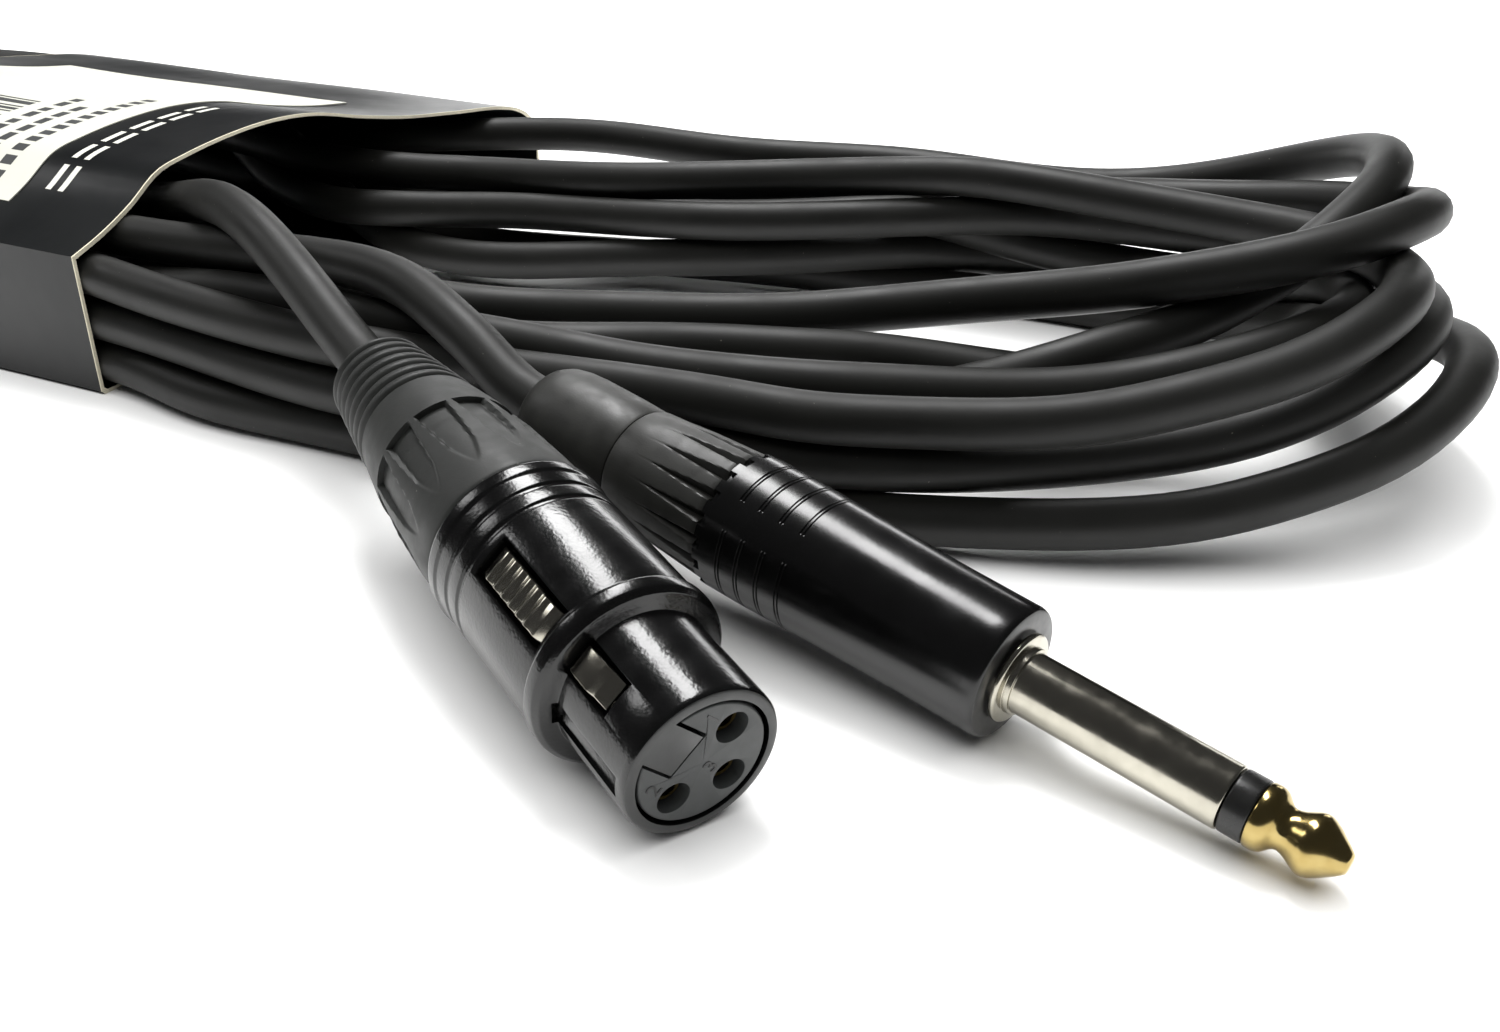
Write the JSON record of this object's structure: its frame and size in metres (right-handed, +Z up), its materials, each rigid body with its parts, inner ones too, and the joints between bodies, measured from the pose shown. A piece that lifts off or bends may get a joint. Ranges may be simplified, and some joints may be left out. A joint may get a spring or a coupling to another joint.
{
  "type": "microphone cable coil",
  "caption": "Black round cable wound as a flat open hank in a printed card sleeve, with a latching three-contact audio socket and a 6.35 mm jack plug on its ends.",
  "frame": {"origin": "centre of the footprint of the whole part, on the surface it lies on", "axes": "+X along the hank towards the loop beside the connectors, +Z up, -Y towards the connectors"},
  "size_m": [0.39, 0.1715, 0.0315],
  "materials": {
    "cable_pvc": "matte black PVC jacket with a soft sheen",
    "black_zinc": "glossy black lacquer on die-cast zinc",
    "black_metal": "glossy black lacquer on turned brass",
    "boot_rubber": "matte black moulded rubber",
    "boot_plastic": "satin black moulded polyamide",
    "insert_plastic": "matte dark grey moulded polyamide",
    "bushing_plastic": "matte black moulded polyamide",
    "clamp_plastic": "natural white moulded acetal",
    "nickel": "nickel plate",
    "contact_gold": "gold plate over brass",
    "spring_steel": "bright spring steel",
    "core_red": "red core insulation",
    "core_white": "white core insulation",
    "core_screen": "bare stranded copper",
    "black_card": "gloss-varnished black printed card",
    "label_paper": "white paper label"
  },
  "bodies": {
    "cable": {"cable_hank": "cable_pvc", "xlr_tail": "cable_pvc", "jack_tail_cord": "cable_pvc", "xlr_shell": "black_zinc", "xlr_insert": "insert_plastic", "xlr_contact_1": "contact_gold", "xlr_contact_2": "contact_gold", "xlr_contact_3": "contact_gold", "xlr_latch_pin": "spring_steel", "xlr_latch_spring": "spring_steel", "xlr_core_1": "core_screen", "xlr_core_2": "core_red", "xlr_core_3": "core_white", "jack_sleeve": "nickel", "jack_insulator_ring": "boot_plastic", "jack_tip": "contact_gold", "jack_tip_rod": "nickel", "jack_rod_insulator": "clamp_plastic", "jack_ground_lug": "nickel", "jack_shell": "black_metal", "jack_core_signal": "core_red", "jack_core_screen": "core_screen"},
    "latch": {"xlr_latch": "nickel"},
    "sleeve": {"card_sleeve": "black_card", "card_label": "label_paper"},
    "xlr_clamp": {"xlr_chuck": "clamp_plastic"},
    "xlr_back": {"xlr_bushing": "bushing_plastic", "xlr_boot": "boot_rubber"},
    "jack_clamp": {"jack_chuck": "clamp_plastic"},
    "jack_back": {"jack_nut": "boot_plastic", "jack_tail": "boot_plastic"}
  },
  "joints": [
    {"name": "latch_press", "type": "hinge", "parent": "cable", "child": "latch", "pos_m": [0.10619, -0.06719, 0.01631], "axis": [0.438, 0.5415, 0.7176], "range_deg": [0, 3.4], "stiffness_Nm_per_rad": 0.6, "springref_deg": -2.86, "deforming": ["xlr_latch_spring"]},
    {"name": "sleeve_slide", "type": "slide", "parent": "cable", "child": "sleeve", "axis": [1, 0, 0], "range_m": [-0.035, 0]},
    {"name": "xlr_clamp_slide", "type": "slide", "parent": "cable", "child": "xlr_clamp", "axis": [-0.8549, 0.4979, 0.146], "range_m": [0, 0.004]},
    {"name": "xlr_nut_turn", "type": "hinge", "parent": "xlr_clamp", "child": "xlr_back", "pos_m": [0.1338, -0.0789, 0.0083], "axis": [-0.8549, 0.4979, 0.146], "range_deg": [0, 1441]},
    {"name": "jack_clamp_slide", "type": "slide", "parent": "cable", "child": "jack_clamp", "axis": [-0.957, 0.265, 0.118], "range_m": [0, 0.005]},
    {"name": "jack_nut_turn", "type": "hinge", "parent": "jack_clamp", "child": "jack_back", "pos_m": [0.1537, -0.0532, 0.0077], "axis": [-0.957, 0.265, 0.118], "range_deg": [0, 1801]}
  ],
  "couplings": [
    {"joint": "xlr_nut_turn", "follows": "xlr_clamp_slide", "rad_per_m": 6283.2},
    {"joint": "jack_nut_turn", "follows": "jack_clamp_slide", "rad_per_m": 6283.2}
  ]
}
